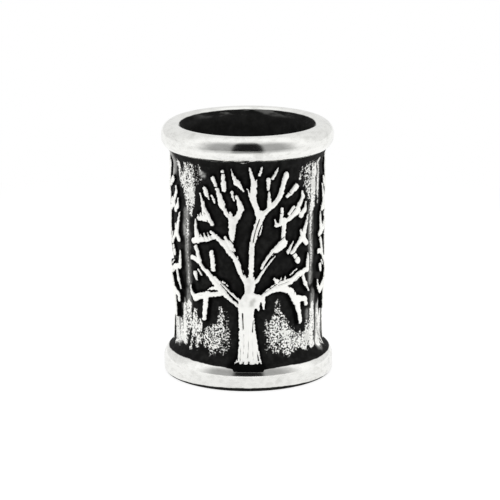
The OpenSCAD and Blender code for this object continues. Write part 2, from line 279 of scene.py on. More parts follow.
# Grey facets on the trees' tops in the same columns, with how grey each is.
# One with no width is all soft edge.
FACET_ROWS = (
    ((0.32, 6.38), (0.24, 6.12), 0.00, 0.24, 0.20, 1.00),
    ((-0.10, 6.60), (-0.30, 6.20), 0.00, 0.20, 0.30, 0.30),
    ((0.00, 7.00), (0.08, 7.80), 0.00, 0.24, 0.20, 0.45),
    ((0.20, 9.70), (0.32, 10.60), 0.00, 0.00, 0.10, 0.45),
    ((-0.80, 12.10), (-1.00, 11.40), 0.00, 0.10, 0.10, 0.40),
    ((-1.60, 6.90), (-2.00, 7.30), 0.00, 0.00, 0.00, 0.30),
    ((2.94, 13.82), (3.10, 13.92), 0.00, 0.00, 0.00, 0.60),
    ((1.46, 13.20), (1.44, 13.60), 0.00, 0.00, 0.00, 0.50),
)

# Fine teeth and threads on the strokes' edges, in the same columns
TOOTH_ROWS = (
    ((-2.70, 10.60), (-2.84, 10.96), 0.00, 0.24, 0.12),
    ((-3.00, 10.54), (-3.14, 10.96), 0.00, 0.24, 0.12),
    ((-3.32, 10.46), (-3.44, 10.80), 0.00, 0.24, 0.12),
    ((-2.05, 7.76), (-1.92, 7.64), 0.00, 0.10, 0.14),
    ((-1.74, 7.62), (-1.60, 7.54), 0.00, 0.16, 0.12),
    ((-1.46, 7.44), (-1.34, 7.34), 0.00, 0.16, 0.12),
    ((2.32, 7.86), (2.20, 7.50), 0.00, 0.10, 0.20),
    ((2.66, 7.92), (2.60, 7.66), 0.00, 0.10, 0.14),
    ((-1.10, 12.25), (-1.18, 12.55), 0.00, 0.24, 0.16),
    ((-3.36, 11.98), (-3.44, 12.34), 0.00, 0.20, 0.12),
    ((-3.60, 11.92), (-3.66, 12.20), 0.00, 0.18, 0.10),
    ((0.78, 10.90), (0.98, 11.60), 0.00, 0.10, 0.10),
    ((-1.12, 1.80), (-1.24, 1.62), 0.00, 0.10, 0.08),
    ((2.92, 12.26), (3.32, 12.72), 0.00, 0.18, 0.24),
    ((-3.00, 13.86), (-2.92, 13.64), 0.00, 0.40, 0.34),
)

# Heights where the polish of the upper and of the lower rim ends, by the angle from the front in degrees
POLISH_ROWS = (
    (-180, 16.08, 1.68), (-75, 16.06, 1.74), (-60, 16.09, 1.76), (-50, 16.12, 1.75), (-38, 16.12, 1.73),
    (-28, 16.08, 1.69), (-17, 16.08, 1.66), (-14, 16.10, 1.61), (-11, 16.19, 1.56), (-10, 16.20, 1.40),
    (-6, 16.10, 1.40), (-3, 16.02, 1.40), (-1, 16.05, 1.40), (2, 16.21, 1.40), (9, 16.21, 1.40),
    (10, 16.15, 1.40), (11, 16.13, 1.54), (14, 16.13, 1.56), (22, 16.10, 1.60), (28, 16.10, 1.63),
    (33, 16.11, 1.61), (42, 16.12, 1.60), (56, 16.12, 1.59), (62, 16.09, 1.59), (75, 16.06, 1.61),
    (180, 16.08, 1.68),
)

# Wear of the ground on both sides of each trunk, in millimetres round the bead from the tree's middle and up
# from the foot. Each row is a stroke as above, and then how worn it is: 1 for bright grains close together.
PATCH_ROWS = (
    ((-1.88, 5.68), (-1.90, 4.70), 0.00, 0.34, 0.50, 0.90),
    ((-1.92, 4.80), (-1.92, 3.60), 0.00, 0.56, 0.50, 0.91),
    ((-1.72, 3.60), (-1.72, 2.90), 0.00, 0.60, 0.40, 0.76),
    ((-1.58, 5.40), (-1.52, 3.00), 0.00, 0.40, 0.50, 0.77),
    ((-2.70, 2.50), (-1.80, 2.60), 0.00, 0.40, 0.40, 0.75),
    ((-2.30, 4.20), (-2.25, 3.10), 0.00, 0.74, 0.70, 0.95),
    ((-2.95, 4.00), (-2.60, 2.90), 0.00, 0.60, 0.70, 0.96),
    ((-3.15, 3.60), (-3.20, 2.90), 0.00, 0.50, 0.30, 0.90),
    ((-2.90, 2.90), (-2.65, 2.50), 0.00, 0.50, 0.25, 0.80),
    ((2.05, 5.75), (2.15, 4.90), 0.00, 0.34, 0.74, 0.90),
    ((2.20, 4.80), (2.10, 3.00), 0.00, 1.00, 1.20, 0.95),
    ((1.58, 4.70), (1.64, 3.00), 0.00, 0.36, 0.46, 0.87),
    ((1.30, 4.70), (1.36, 2.80), 0.00, 0.36, 0.40, 0.77),
    ((2.08, 6.05), (2.10, 5.75), 0.00, 0.36, 0.44, 0.77),
    ((2.80, 4.60), (2.90, 2.60), 0.00, 0.40, 0.80, 0.95),
    ((3.30, 3.90), (3.50, 2.60), 0.00, 0.40, 0.70, 0.93),
    ((3.90, 3.60), (3.80, 2.60), 0.00, 0.40, 0.50, 0.95),
    ((2.25, 2.80), (2.25, 2.45), 0.00, 0.25, 0.10, 0.90),
    ((2.90, 2.50), (2.95, 2.15), 0.00, 0.30, 0.12, 0.90),
)

# Wear of the strips between the trees in the same columns, from the bead's front
LEFT_WEAR_ROWS = (
    ((-4.80, 5.45), (-4.85, 4.20), 0.00, 0.60, 0.75, 0.97),
    ((-5.35, 5.20), (-5.45, 3.40), 0.00, 0.40, 0.75, 0.97),
    ((-4.90, 4.30), (-5.25, 2.75), 0.00, 0.85, 0.50, 0.97),
    ((-5.95, 4.70), (-5.85, 3.00), 0.00, 0.10, 0.80, 0.92),
    ((-6.50, 4.20), (-6.40, 3.10), 0.00, 0.10, 0.80, 0.86),
    ((-4.12, 5.20), (-4.08, 4.10), 0.00, 0.26, 0.34, 1.05),
    ((-4.08, 4.20), (-4.65, 2.35), 0.00, 0.50, 0.20, 1.02),
    ((-3.50, 4.45), (-3.85, 3.80), 0.05, 0.26, 0.50, 1.02),
    ((-3.85, 3.80), (-4.00, 2.50), 0.00, 0.75, 0.22, 1.00),
    ((-3.55, 3.70), (-3.65, 3.10), 0.00, 0.36, 0.36, 0.90),
    ((-5.75, 15.50), (-5.20, 14.00), 0.00, 0.56, 0.70, 0.88),
    ((-4.80, 15.60), (-4.70, 14.60), 0.00, 0.50, 0.90, 0.90),
    ((-4.40, 15.40), (-4.15, 14.60), 0.00, 0.36, 0.60, 0.88),
    ((-4.48, 14.60), (-4.42, 13.20), 0.00, 1.25, 1.15, 0.94),
    ((-4.40, 13.20), (-4.35, 12.50), 0.00, 1.00, 0.80, 0.87),
    ((-4.35, 12.30), (-4.25, 11.95), 0.00, 0.24, 0.16, 1.05),
    ((-4.05, 15.45), (-3.66, 14.30), 0.00, 0.36, 0.36, 0.92),
    ((-3.60, 15.40), (-3.36, 14.60), 0.00, 0.60, 0.50, 0.78),
    ((-4.70, 11.60), (-4.65, 10.60), 0.00, 0.26, 0.24, 0.88),
    ((-4.65, 10.60), (-4.62, 9.00), 0.00, 0.24, 0.22, 0.82),
    ((-4.62, 9.00), (-4.60, 7.00), 0.00, 0.22, 0.20, 0.78),
)

RIGHT_WEAR_ROWS = (
    ((5.35, 5.40), (5.35, 2.50), 0.00, 0.50, 0.75, 1.00),
    ((6.35, 5.00), (6.35, 2.40), 0.00, 0.50, 0.75, 1.05),
    ((7.20, 4.40), (7.20, 2.40), 0.00, 0.70, 0.70, 0.90),
    ((4.75, 4.20), (4.60, 2.70), 0.00, 0.44, 0.74, 0.92),
    ((4.20, 3.40), (4.20, 2.60), 0.00, 0.30, 0.50, 0.90),
    ((5.32, 15.60), (5.42, 14.60), 0.00, 0.60, 0.72, 0.92),
    ((5.38, 14.60), (5.24, 12.40), 0.00, 0.72, 0.56, 0.93),
    ((6.05, 15.75), (6.12, 14.60), 0.00, 0.40, 0.40, 0.90),
    ((6.10, 14.60), (5.96, 12.50), 0.00, 0.40, 0.30, 0.88),
    ((4.58, 15.30), (4.56, 14.20), 0.00, 0.76, 0.76, 0.87),
    ((4.70, 14.20), (4.85, 13.00), 0.00, 0.50, 0.40, 0.89),
    ((4.02, 15.35), (3.88, 14.60), 0.00, 0.14, 0.20, 0.92),
    ((5.04, 12.20), (4.98, 11.30), 0.00, 0.32, 0.28, 0.92),
    ((5.00, 11.30), (4.98, 10.60), 0.00, 0.28, 0.28, 0.95),
    ((4.98, 10.60), (4.98, 9.00), 0.00, 0.30, 0.26, 0.84),
    ((4.98, 9.00), (5.05, 7.00), 0.00, 0.26, 0.24, 0.82),
)

# Smooth grey smears in the same columns, with how grey each is.
# A width below 0 takes away from the soft edge.
LEFT_SMEAR_ROWS = (
    ((-7.50, 15.90), (-7.50, 14.50), 0.00, 2.20, 1.80, 0.56),
    ((-6.50, 15.60), (-6.50, 14.60), 0.00, 0.80, 0.50, 0.34),
    ((-4.80, 12.20), (-4.85, 10.60), 0.00, 0.40, 0.35, 0.40),
    ((-4.70, 10.60), (-4.62, 7.00), 0.00, 0.26, 0.20, 0.34),
    ((-3.46, 15.16), (-3.10, 14.92), 0.00, -0.20, -0.20, 1.30),
    ((-3.30, 14.86), (-3.10, 14.80), 0.00, -0.26, -0.26, 1.20),
    ((-4.75, 6.50), (-4.75, 5.50), 0.00, 0.22, 0.40, 0.30),
    ((-5.40, 5.60), (-5.40, 5.30), 0.00, 0.30, 0.30, 0.30),
    ((-6.20, 4.30), (-6.20, 2.90), 0.00, 0.10, 0.90, 0.62),
)

RIGHT_SMEAR_ROWS = (
    ((5.00, 12.20), (4.95, 10.40), 0.00, 0.30, 0.26, 0.40),
    ((4.98, 10.40), (5.05, 7.00), 0.00, 0.24, 0.20, 0.38),
    ((5.40, 6.10), (5.40, 5.50), 0.00, 0.35, 0.40, 0.35),
    ((4.75, 5.00), (4.75, 4.50), 0.00, 0.10, 0.10, 0.35),
    ((6.35, 5.00), (6.35, 2.40), 0.00, 0.50, 0.75, 0.60),
)

# Angle in degrees from the right-hand strip to the one at the back, which has the same wear
BACK_STRIP_TURN = 122


class BeadSizes(bpy.types.PropertyGroup):
    """Sizes of the bead that the frame doesn't give."""

    tree_count: IntProperty(
        name="Trees", description="Number of trees round the bead", default=3, min=1, max=3)
    tree_pitch: FloatProperty(
        name="Tree pitch", description="Angle from one tree to the next",
        default=np.radians(111), unit="ROTATION")
    tree_spread: FloatProperty(
        name="Tree spread", description="How many times wider a tree is than its drawing", default=1.025)
    tree_top_d: FloatProperty(
        name="Tree top width", description="Width of the bead over the tops of the trees",
        default=10.9 * MM, unit="LENGTH")
    panel_low_d: FloatProperty(
        name="Panel width at foot", description="Width of the sunk panel near its foot",
        default=10.16 * MM, unit="LENGTH")
    panel_high_d: FloatProperty(
        name="Panel width at head", description="Width of the sunk panel near its top",
        default=10.44 * MM, unit="LENGTH")
    head_lip_h: FloatProperty(
        name="Upper lip depth", description="How far the upper lip's curve goes down into the bore",
        default=0.95 * MM, unit="LENGTH")
    head_band_h: FloatProperty(
        name="Upper rim height", description="Height of the upper rim's rounded band",
        default=1.8 * MM, unit="LENGTH")
    head_round: FloatProperty(
        name="Upper rim roundness", description="Radius of the upper rim's round top edge",
        default=0.84 * MM, unit="LENGTH")
    head_bend: FloatProperty(
        name="Upper rim bend", description="Radius of the bend from the upper rim's band to its shoulder",
        default=0.8 * MM, unit="LENGTH")
    head_shoulder_h: FloatProperty(
        name="Upper shoulder height", description="Height of the slope under the upper rim",
        default=0.7 * MM, unit="LENGTH")
    foot_d: FloatProperty(
        name="Lower rim width", description="Width of the lower rim",
        default=11.88 * MM, unit="LENGTH")
    foot_band_h: FloatProperty(
        name="Lower rim height", description="Height of the lower rim's rounded band",
        default=1.95 * MM, unit="LENGTH")
    foot_round: FloatProperty(
        name="Lower rim roundness", description="Radius of the lower rim's edge, where the bead stands",
        default=0.3 * MM, unit="LENGTH")
    foot_bend: FloatProperty(
        name="Lower rim bend", description="Radius of the bend from the lower rim's band to its shoulder",
        default=0.95 * MM, unit="LENGTH")
    foot_shoulder_h: FloatProperty(
        name="Lower shoulder height", description="Height of the slope over the lower rim",
        default=0.35 * MM, unit="LENGTH")


class BeadFinish(bpy.types.PropertyGroup):
    """Colours and gloss of the antiqued steel."""

    steel: FloatVectorProperty(
        name="Steel", description="Colour of the bright steel",
        subtype="COLOR", size=3, min=0, max=1, default=(0.97, 0.97, 0.94))
    tarnish: FloatVectorProperty(
        name="Tarnish", description="Colour of the greyer steel in its mottling",
        subtype="COLOR", size=3, min=0, max=1, default=(0.62, 0.62, 0.59))
    black: FloatVectorProperty(
        name="Black", description="Colour of the black patina",
        subtype="COLOR", size=3, min=0, max=1, default=(0.0085, 0.0085, 0.0082))
    rim_rough: FloatProperty(
        name="Rim roughness", description="Roughness of the polished rims", default=0.12, min=0, max=1)
    tree_rough: FloatProperty(
        name="Tree roughness", description="Roughness of the trees' tops", default=0.50, min=0, max=1)


def ease(t):
    """An S-shaped step from 0 to 1, with t held in that range: three times its square less twice its cube."""
    t = np.clip(t, 0, 1)
    return t * t * (3 - 2 * t)


def arc(centre_r, centre_z, radius, start, end, steps):
    """Points of an arc: the centre plus the radius times the cosine and sine of each angle in degrees."""
    a = np.radians(np.linspace(start, end, steps + 1))
    return np.column_stack((centre_r + radius * np.cos(a), centre_z + radius * np.sin(a)))


def soft_corner(before, corner, after, reach):
    """A quadratic curve that cuts a corner off between the points that lie reach before and after it."""
    steps = 6
    before, corner, after = np.array(before), np.array(corner), np.array(after)
    a = corner + (before - corner) * reach / np.linalg.norm(before - corner)
    b = corner + (after - corner) * reach / np.linalg.norm(after - corner)
    t = np.linspace(0, 1, steps + 1)[:, None]
    return a * (1 - t) ** 2 + 2 * corner * t * (1 - t) + b * t ** 2


def noise(x, y, cell, seed):
    """Smooth random heights from -1 to 1: seeded values on a square lattice, blended by S-shaped steps."""
    size = 256
    lattice = np.random.default_rng(seed).uniform(-1, 1, (size, size))
    gx, gy = x / cell, y / cell
    ix, iy = np.floor(gx).astype(int), np.floor(gy).astype(int)
    fx, fy = ease(gx - ix), ease(gy - iy)

    def row(k):
        """Values along one row of the lattice, blended from each column to the next."""
        return lattice[ix % size, k % size] * (1 - fx) + lattice[(ix + 1) % size, k % size] * fx

    return row(iy) * (1 - fy) + row(iy + 1) * fy


def panel_r(sizes, z):
    """Radius of the sunk panel at height z: an S-shaped step from its low radius to its high one."""
    low_z, high_z = 4.6 * MM, 9.6 * MM
    low, high = sizes.panel_low_d / 2, sizes.panel_high_d / 2
    return low + (high - low) * ease((z - low_z) / (high_z - low_z))


def mesh_object(name, points, quads, triangles=()):
    """A smooth-shaded mesh object at the origin from arrays of points, quads and triangles."""
    triangles = np.asarray(triangles, np.int32).reshape(-1, 3)
    mesh = bpy.data.meshes.new(name)
    mesh.vertices.add(len(points))
    mesh.vertices.foreach_set("co", np.asarray(points, np.float32).ravel())
    corners = np.concatenate((quads.ravel(), triangles.ravel()))
    mesh.loops.add(len(corners))
    mesh.loops.foreach_set("vertex_index", corners.astype(np.int32))
    starts = np.concatenate((np.arange(len(quads)) * 4, quads.size + np.arange(len(triangles)) * 3))
    mesh.polygons.add(len(starts))
    mesh.polygons.foreach_set("loop_start", starts.astype(np.int32))
    mesh.update(calc_edges=True)
    mesh.shade_smooth()
    if mesh.validate():
        raise RuntimeError(f"the mesh {name} had faults")
    obj = bpy.data.objects.new(name, mesh)
    bpy.context.scene.collection.objects.link(obj)
    return obj


def add_attribute(obj, name, values):
    """A number on each vertex that a material can read by name."""
    layer = obj.data.attributes.new(name, "FLOAT", "POINT")
    layer.data.foreach_set("value", np.asarray(values, np.float32).ravel())


def stroke_distance(across, up, rows, spread=STROKE_SPREAD):
    """Signed distance in millimetres to a table's nearest stroke at each drawing point, negative inside.

    A stroke is a chain of short straight tapered pieces along its bowed middle line. The distance to a piece
    is the distance to its middle line less its half width there. Strokes that meet are blended over a short
    reach, and no distance is greater than the spread.
    """
    blend = 0.06
    pieces = 5
    field = np.full(across.shape, spread)
    for start, end, bow, start_w, end_w in rows:
        a, b = np.array(start), np.array(end)
        along = b - a
        left = np.array((-along[1], along[0])) / np.linalg.norm(along)
        t = np.linspace(0, 1, pieces + 1)
        line = a + along * t[:, None] + left * (4 * bow * t * (1 - t))[:, None]
        half = (start_w * (1 - t) + end_w * t) / 2
        low, high = line.min(0) - spread, line.max(0) + spread
        near = (across > low[0]) & (across < high[0]) & (up > low[1]) & (up < high[1])
        x, y = across[near], up[near]
        best = np.full(x.shape, spread)
        for i in range(pieces):
            step = line[i + 1] - line[i]
            dx, dy = x - line[i][0], y - line[i][1]
            share = np.clip((dx * step[0] + dy * step[1]) / (step @ step), 0, 1)
            gap = np.hypot(dx - share * step[0], dy - share * step[1])
            best = np.minimum(best, gap - half[i] * (1 - share) - half[i + 1] * share)
        old = field[near]
        overlap = np.maximum(blend - np.abs(old - best), 0) / blend
        field[near] = np.minimum(old, best) - overlap ** 2 * blend / 4
    return field


def trunk_distance(across, up):
    """Signed distance in millimetres to the trunk: how far a point is past its nearer edge or its ends."""
    heights, lefts, rights = np.array(TRUNK_ROWS).T
    left = np.interp(up, heights, lefts)
    right = np.interp(up, heights, rights)
    beside = np.maximum(left - across, across - right)
    beyond = np.maximum(heights[0] - up, up - heights[-1])
    return np.maximum(beside, beyond)


def tree_distance(across, up):
    """Signed distance in millimetres to the whole tree at each drawing point, negative inside.

    The edges are ragged, as if cut by hand: each point is first moved by a coarse and a fine noise.
    """
    coarse, coarse_cell = 0.036, 0.16
    fine, fine_cell = 0.030, 0.08
    x = across + coarse * noise(across, up, coarse_cell, 11) + fine * noise(across, up, fine_cell, 12)
    y = up + coarse * noise(across, up, coarse_cell, 13) + fine * noise(across, up, fine_cell, 14)
    strokes = stroke_distance(x, y, STROKE_ROWS + TOOTH_ROWS)
    return np.minimum(strokes, trunk_distance(x, y))


def soft_share(across, up, rows):
    """The greatest strength of any row of a table at each place, with soft edges.

    A row's strength falls to 0 in an S-shaped step, from a quarter of the soft edge inside its stroke to
    three quarters of it outside.
    """
    outside = 0.75
    share = np.zeros(across.shape)
    for *stroke, strength in rows:
        reach = max(stroke[3], stroke[4]) / 2 + SOFT_EDGE
        gap = stroke_distance(across, up, (stroke,), max(reach, STROKE_SPREAD))
        share = np.maximum(share, strength * ease(outside - gap / SOFT_EDGE))
    return share


def smeared(angle, up, rows, turn=0.0):
    """The soft share of a wear table round the bead, with each place first moved by noise.

    The angle is in degrees from the front, and the whole table is turned on round the bead by turn.
    """
    across = np.radians((angle - turn + 180) % 360 - 180) * WEAR_R
    across = across + 0.06 * noise(across, up / 3, 0.30, 31) + 0.05 * noise(across, up, 0.20, 32)
    up = up + 0.20 * noise(across, up, 0.24, 33)
    return soft_share(across, up, rows)


def strip_wear(angle, up, left_rows, right_rows):
    """Wear between the trees: left and right of the front, and at the back as on the right."""
    return np.maximum.reduce((
        smeared(angle, up, left_rows),
        smeared(angle, up, right_rows),
        smeared(angle, up, right_rows, BACK_STRIP_TURN)))


def turned_profile(sizes):
    """The outline of the tube's wall, as a closed loop of (radius, height) rows.

    It runs from the bore round the lower lip and rim, up the shoulder and the panel, round the upper rim
    and lip and down the bore. Rims and bends are arcs, lips are quarters of ellipses, and the shoulders are
    slopes with soft corners.
    """
    corner_reach, head_flat = 0.22 * MM, 0.01 * MM
    lip_steps, edge_steps, bend_steps = 14, 22, 16
    panel_rows, bore_rows = 112, 14

    def rim(lip_w, lip_h, rim_r, band_h, end_round, bend_round, top_z, panel_end):
        """A rim's outline from the bore to the panel, with heights measured from its own end of the bead."""
        lip = arc(1, 1, 1, 180, 270, lip_steps) * (lip_w, lip_h) + (BORE_R, 0)
        edge = arc(rim_r - end_round, end_round, end_round, -90, 0, edge_steps)
        bend = arc(rim_r - bend_round, band_h - bend_round, bend_round, 0, BEND_END, bend_steps)
        corner = soft_corner(bend[-1], (panel_end, top_z), (panel_end, top_z + MM), corner_reach)
        return np.concatenate((lip, edge, bend, corner))

    foot_z = sizes.foot_band_h + sizes.foot_shoulder_h
    low = rim(LIP_H, LIP_H, sizes.foot_d / 2, sizes.foot_band_h, sizes.foot_round, sizes.foot_bend,
              foot_z, panel_r(sizes, foot_z))
    drop = sizes.head_band_h + sizes.head_shoulder_h
    head_lip_w = HEAD_R - sizes.head_round - BORE_R - head_flat
    high = rim(head_lip_w, sizes.head_lip_h, HEAD_R, sizes.head_band_h, sizes.head_round, sizes.head_bend,
               drop, panel_r(sizes, BEAD_H - drop))
    high = high[::-1] * (1, -1) + (0, BEAD_H)
    z = np.linspace(low[-1, 1], high[0, 1], panel_rows)[1:-1]
    panel = np.column_stack((panel_r(sizes, z), z))
    bore_z = np.linspace(BEAD_H - sizes.head_lip_h, LIP_H, bore_rows)[1:-1]
    bore = np.column_stack((np.full(bore_z.shape, BORE_R), bore_z))
    return np.concatenate((low, panel, high, bore))


def rim_edge(angle, z):
    """How far in millimetres a height is past the line where a rim's polish ends, positive on the rim.

    That is the height less the upper rim's line, or the lower rim's line less the height. The edge that the
    bead stands on is painted black as shade where it meets the floor, up to a line that is highest at the
    front and at the back.
    """
    # Painted shade where the bead meets the floor: its edge is drawn black up to this height in millimetres,
    # less by the second number at the sides
    contact_shade_h, contact_shade_less = 0.30, 0.16
    angles, heads, feet = np.array(POLISH_ROWS).T
    up = z / MM
    head_line = np.interp(angle, angles, heads)
    foot_line = np.interp(angle, angles, feet)
    contact_shade_line = contact_shade_h - contact_shade_less * np.sin(np.radians(angle)) ** 2
    return np.maximum(up - head_line, np.minimum(foot_line - up, up - contact_shade_line))


def tree_turns(sizes):
    """Angle of each tree from the front in radians, with the trees evenly on both sides of it."""
    return (np.arange(sizes.tree_count) - (sizes.tree_count - 1) / 2) * sizes.tree_pitch


def drawing_place(sizes, angle):
    """Place across a tree's drawing, in its millimetres, of an angle in radians from the tree's middle."""
    return angle * sizes.tree_top_d / 2 / MM / sizes.tree_spread


def make_tube(sizes):
    """The turned tube, with a point for each place on the outline and each angle.

    Its x is the radius times the angle's cosine, its y the radius times the sine, and its z the height. The
    vertices carry the wear and the smears of the ground, the height past the rims' polish line and past the
    painted shade on the edge the bead stands on, and how much blacker the patina is painted beside the
    strokes as shade in their corners. The strips between the trees are rubbed, more so at the sides and the
    back.
    """
    columns = 360
    profile = turned_profile(sizes)
    around = np.arange(columns) * 2 * np.pi / columns
    r, z = profile[:, :1], profile[:, 1:]
    points = np.stack(np.broadcast_arrays(r * np.cos(around), r * np.sin(around), z), axis=-1)
    i, j = np.meshgrid(np.arange(len(profile)), np.arange(columns), indexing="ij")
    next_i, next_j = (i + 1) % len(profile), (j + 1) % columns
    row, next_row = i * columns, next_i * columns
    quads = np.stack((row + j, row + next_j, next_row + next_j, next_row + j), axis=-1)
    obj = mesh_object("tube_body", points.reshape(-1, 3), quads.reshape(-1, 4))

    from_front = (around + 1.5 * np.pi) % (2 * np.pi) - np.pi
    from_trees = from_front[:, None] - tree_turns(sizes)
    nearest = np.abs(from_trees).argmin(1)
    from_tree = from_trees[np.arange(columns), nearest]
    across, up, angle = np.broadcast_arrays(
        drawing_place(sizes, from_tree), z / MM, np.degrees(from_front))

    clear_gap, clear_w = 0.05, 0.12
    corner_shade_end, corner_shade_w = 0.27, 0.20
    side_angle, side_w = 56, 6
    front_rub, full_rub = 0.5, 0.5
    gap = tree_distance(across, up)
    clear = ease((gap - clear_gap) / clear_w)
    patches = [smeared(angle, up, PATCH_ROWS, turn) for turn in np.degrees(tree_turns(sizes))]
    strips = strip_wear(angle, up, LEFT_WEAR_ROWS, RIGHT_WEAR_ROWS)
    sides = ease((np.abs(angle) - side_angle) / side_w)
    add_attribute(obj, "worn", np.maximum.reduce((*patches, strips)) * clear)
    add_attribute(obj, "rubbed", ease(strips / full_rub) * (front_rub + (1 - front_rub) * sides))
    add_attribute(obj, "smear", strip_wear(angle, up, LEFT_SMEAR_ROWS, RIGHT_SMEAR_ROWS) * clear)
    add_attribute(obj, "rim_edge", rim_edge(angle, z))
    # Painted corner shade: how much blacker the patina is drawn right beside the strokes
    add_attribute(obj, "corner", CORNER_SHADE_DEPTH * ease((corner_shade_end - gap) / corner_shade_w))
    return obj


def relief_radius(sizes, across, up):
    """Radius of a tree's surface in metres at each point of the drawing, and of the hidden slab round it.

    The wall rises in an S-shaped step across each stroke's edge, from a base that is sunk in the tube to a
    top. The top is pillowed down towards its edges, softly hammered and cut by slits, and fine upright
    grain lowers it on the trunk.
    """
    sunk, top_drop = 0.10, 0.012
    wall_start, wall_w = 0.045, 0.08
    pillow_h, pillow_w = 0.05, 0.15
    slit_h, slit_start, slit_w = 0.11, 0.02, 0.05
    grain_h, grain_end, grain_fade = 0.014, 6.2, 1.0
    base = panel_r(sizes, up * MM) / MM - sunk
    top = sizes.tree_top_d / 2 / MM
    gap = tree_distance(across, up)
    wall = ease((wall_start - gap) / wall_w)
    pillow = pillow_h * (1 - ease(-gap / pillow_w))
    hammer = 0.010 * noise(across, up, 0.34, 21) + 0.006 * noise(across, up, 0.13, 22)
    slits = slit_h * ease((slit_start - stroke_distance(across, up, SLIT_ROWS)) / slit_w)
    low_down = ease((grain_end - up) / grain_fade)
    grain = grain_h * ease(0.5 + 0.5 * noise(across * 4, up, 0.32, 23)) * low_down
    return (base + (top - top_drop - pillow + hammer - slits - grain - base) * wall) * MM


def slab_faces(columns, rows):
    """Quads and triangles that close a slab: the face's grid, a back, and skirts on the four edges between.

    Its points are the face's rows from the lowest up, then the back's lower edge and its upper edge. The
    skirts below and above are rows of quads, and each side is a fan of triangles from the back's lower point.
    """
    i, j = np.meshgrid(np.arange(rows - 1), np.arange(columns - 1), indexing="ij")
    start = i * columns + j
    front = np.stack((start, start + 1, start + columns + 1, start + columns), axis=-1).reshape(-1, 4)
    k = np.arange(columns - 1)
    foot = rows * columns + k
    head = foot + columns
    last = (rows - 1) * columns + k
    bottom = np.stack((k + 1, k, foot, foot + 1), axis=-1)
    top = np.stack((last, last + 1, head + 1, head), axis=-1)
    behind = np.stack((foot + 1, foot, head, head + 1), axis=-1)

    rise = np.arange(rows - 1)
    left_low, left_high = rows * columns, (rows + 1) * columns
    right_low, right_high = left_high - 1, left_high + columns - 1
    left_edge, right_edge = rise * columns, rise * columns + columns - 1
    end = rows - 1
    sides = np.concatenate((
        np.stack((np.full(end, left_low), left_edge, left_edge + columns), axis=-1),
        [(left_low, end * columns, left_high)],
        np.stack((np.full(end, right_low), right_edge + columns, right_edge), axis=-1),
        [(right_low, right_high, end * columns + columns - 1)],
    ))
    return np.concatenate((front, bottom, top, behind)), sides


def make_tree(sizes, name, turn):
    """One raised tree as a closed slab sunk in the tube's wall.

    The outer face is the relief: each drawing point (across, up) goes to the angle across * spread / top
    radius from the tree's middle, at the relief's radius. The slab's back is on its inner radius.
    """
    left, right, low, high = -4.62, 5.02, 1.20, 15.95
    columns, rows = 253, 386
    inner = 4.78 * MM
    across, up = np.meshgrid(np.linspace(left, right, columns), np.linspace(low, high, rows))
    radius = relief_radius(sizes, across, up)
    angle = turn - np.pi / 2 + across * sizes.tree_spread * MM / (sizes.tree_top_d / 2)
    face = np.stack((radius * np.cos(angle), radius * np.sin(angle), up * MM), axis=-1).reshape(-1, 3)
    ring = angle[0]
    back = [np.stack((inner * np.cos(ring), inner * np.sin(ring), np.full(columns, z * MM)), axis=-1)
            for z in (low, high)]
    points = np.concatenate((face, *back))
    obj = mesh_object(name, points, *slab_faces(columns, rows))
    facets = soft_share(across, up, FACET_ROWS).ravel()
    add_attribute(obj, "facet", np.concatenate((facets, np.zeros(2 * columns))))
    return obj


